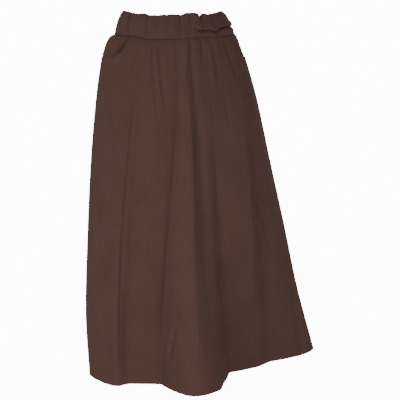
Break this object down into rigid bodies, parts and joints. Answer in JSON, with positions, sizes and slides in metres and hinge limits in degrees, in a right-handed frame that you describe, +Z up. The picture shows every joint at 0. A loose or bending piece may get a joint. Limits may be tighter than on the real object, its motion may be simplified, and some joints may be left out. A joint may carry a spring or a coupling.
{
  "type": "maxi skirt",
  "caption": "Long flared skirt with a gathered elastic waistband and scooped hip pockets, hollow as worn, hem swept to one side.",
  "frame": {"origin": "middle of the waist opening, at half the height of the waistband", "axes": "-Y to the front of the skirt, +X to the wearer's left, +Z up"},
  "size_m": [0.6137, 0.4483, 0.9441],
  "materials": {
    "skirt_cloth": "matte plain weave, brown",
    "band_cloth": "matte plain weave, brown, gathered over elastic"
  },
  "bodies": {
    "root": {"waistband": "band_cloth", "front_panel": "skirt_cloth", "back_panel": "skirt_cloth", "pocket_facing_right": "skirt_cloth", "pocket_facing_left": "skirt_cloth"}
  },
  "joints": []
}
